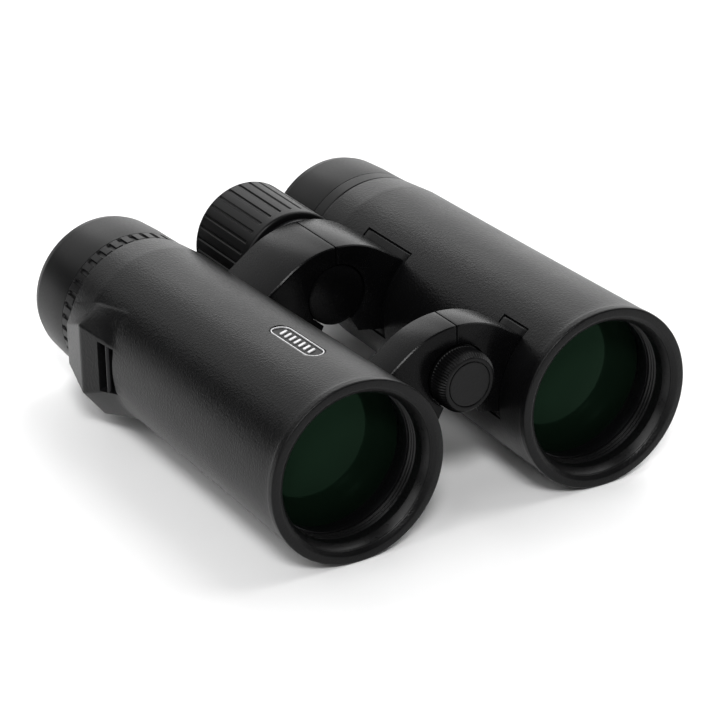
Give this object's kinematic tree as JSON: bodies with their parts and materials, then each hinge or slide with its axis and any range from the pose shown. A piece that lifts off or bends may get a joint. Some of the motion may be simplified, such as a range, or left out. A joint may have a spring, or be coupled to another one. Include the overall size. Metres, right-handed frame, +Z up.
{
  "type": "binoculars",
  "caption": "Open-bridge roof-prism binoculars with rubber armour, a folding central hinge, a focus wheel, twist-up eyecups and a capped tripod socket.",
  "frame": {"origin": "on the resting plane, under the middle of the outline, with the halves fully opened", "axes": "+Y along the barrels from the objectives to the eyepieces, +Z up towards the bridges, +X towards the user's left barrel"},
  "size_m": [0.128, 0.1398, 0.0535],
  "materials": {
    "rubber_armour": "matte, fine leather-like grain",
    "casting_black": "fine satin black lacquer on magnesium",
    "internal_black": "dull anti-reflection black",
    "black_aluminium": "black anodised, satin",
    "bare_steel": "fine machined steel",
    "brass": "machined, dull",
    "coated_glass": "multi-coated, green reflection",
    "prism_glass": "polished, ground edges",
    "grip_rubber": "matte, smooth",
    "badge_black": "gloss black with a raised plain border",
    "dioptre_black": "satin black"
  },
  "bodies": {
    "right_half": {"right_body": "casting_black", "right_armour": "rubber_armour", "right_objective_cell": "internal_black", "right_objective_crown": "coated_glass", "right_objective_flint": "prism_glass", "right_objective_ring": "black_aluminium", "right_objective_seal": "grip_rubber", "right_prism_cage": "internal_black", "right_entry_prism": "prism_glass", "right_roof_prism": "prism_glass", "right_eyepiece_tube": "black_aluminium", "right_eye_lens": "coated_glass", "right_eye_lens_ring": "black_aluminium", "badge": "badge_black", "hinge_tube": "bare_steel", "front_hinge_pin": "bare_steel", "tripod_insert": "brass", "hinge_cap": "casting_black", "wheel_collar": "black_aluminium", "grub_screws": "bare_steel"},
    "left_half": {"left_body": "casting_black", "left_armour": "rubber_armour", "left_objective_cell": "internal_black", "left_objective_crown": "coated_glass", "left_objective_flint": "prism_glass", "left_objective_ring": "black_aluminium", "left_objective_seal": "grip_rubber", "left_prism_cage": "internal_black", "left_entry_prism": "prism_glass", "left_roof_prism": "prism_glass", "left_eyepiece_tube": "black_aluminium", "left_eye_lens": "coated_glass", "left_eye_lens_ring": "black_aluminium", "left_field_cell": "black_aluminium", "left_field_lens": "prism_glass", "left_neck_ring": "dioptre_black", "hinge_bushings": "brass"},
    "right_focus_carriage": {"right_focus_cell": "black_aluminium", "right_focus_lens": "prism_glass", "right_drive_arm": "bare_steel"},
    "left_focus_carriage": {"left_focus_cell": "black_aluminium", "left_focus_lens": "prism_glass", "left_drive_arm": "bare_steel"},
    "focus_wheel": {"focus_wheel": "black_aluminium", "wheel_grip": "grip_rubber", "wheel_cap": "black_aluminium", "focus_screw": "bare_steel"},
    "focus_nut": {"focus_nut": "brass"},
    "dioptre_ring": {"dioptre_ring": "dioptre_black"},
    "dioptre_carriage": {"right_field_cell": "black_aluminium", "right_field_lens": "prism_glass"},
    "tripod_cap": {"tripod_cap": "black_aluminium", "tripod_cap_disc": "grip_rubber"},
    "right_eyecup_guide": {"right_eyecup_guide": "bare_steel"},
    "right_eyecup": {"right_eyecup_sleeve": "internal_black", "right_eyecup_rubber": "grip_rubber"},
    "left_eyecup_guide": {"left_eyecup_guide": "bare_steel"},
    "left_eyecup": {"left_eyecup_sleeve": "internal_black", "left_eyecup_rubber": "grip_rubber"}
  },
  "joints": [
    {"name": "ipd_fold", "type": "hinge", "parent": "right_half", "child": "left_half", "pos_m": [0, 0, 0.0376], "axis": [0, 1, 0], "range_deg": [0, 56]},
    {"name": "focus_turn", "type": "hinge", "parent": "right_half", "child": "focus_wheel", "pos_m": [0, 0.0401, 0.0376], "axis": [0, 1, 0], "range_deg": [-300, 300]},
    {"name": "nut_slide", "type": "slide", "parent": "right_half", "child": "focus_nut", "axis": [0, 1, 0], "range_m": [-0.0023, 0.0023]},
    {"name": "right_focus_slide", "type": "slide", "parent": "right_half", "child": "right_focus_carriage", "axis": [0, 1, 0], "range_m": [-0.0023, 0.0023]},
    {"name": "left_focus_slide", "type": "slide", "parent": "left_half", "child": "left_focus_carriage", "axis": [0, 1, 0], "range_m": [-0.0023, 0.0023]},
    {"name": "dioptre_turn", "type": "hinge", "parent": "right_half", "child": "dioptre_ring", "pos_m": [-0.038, 0.0481, 0.0256], "axis": [0, 1, 0], "range_deg": [-45, 45]},
    {"name": "dioptre_slide", "type": "slide", "parent": "right_half", "child": "dioptre_carriage", "axis": [0, 1, 0], "range_m": [-0.00125, 0.00125]},
    {"name": "cap_pull", "type": "slide", "parent": "right_half", "child": "tripod_cap", "axis": [0, -1, 0], "range_m": [0, 0.04]},
    {"name": "right_eyecup_twist", "type": "hinge", "parent": "right_half", "child": "right_eyecup_guide", "pos_m": [-0.038, 0.0441, 0.0256], "axis": [0, 1, 0], "range_deg": [0, 120]},
    {"name": "right_eyecup_lift", "type": "slide", "parent": "right_eyecup_guide", "child": "right_eyecup", "axis": [0, 1, 0], "range_m": [0, 0.009]},
    {"name": "left_eyecup_twist", "type": "hinge", "parent": "left_half", "child": "left_eyecup_guide", "pos_m": [0.038, 0.0441, 0.0256], "axis": [0, 1, 0], "range_deg": [0, 120]},
    {"name": "left_eyecup_lift", "type": "slide", "parent": "left_eyecup_guide", "child": "left_eyecup", "axis": [0, 1, 0], "range_m": [0, 0.009]}
  ],
  "couplings": [
    {"joint": "nut_slide", "follows": "focus_turn", "m_per_rad": 0.00042017},
    {"joint": "right_focus_slide", "follows": "focus_turn", "m_per_rad": 0.00042017},
    {"joint": "left_focus_slide", "follows": "focus_turn", "m_per_rad": 0.00042017},
    {"joint": "dioptre_slide", "follows": "dioptre_turn", "m_per_rad": 0.001528},
    {"joint": "right_eyecup_lift", "follows": "right_eyecup_twist", "m_per_rad": 0.004297},
    {"joint": "left_eyecup_lift", "follows": "left_eyecup_twist", "m_per_rad": 0.004297}
  ]
}
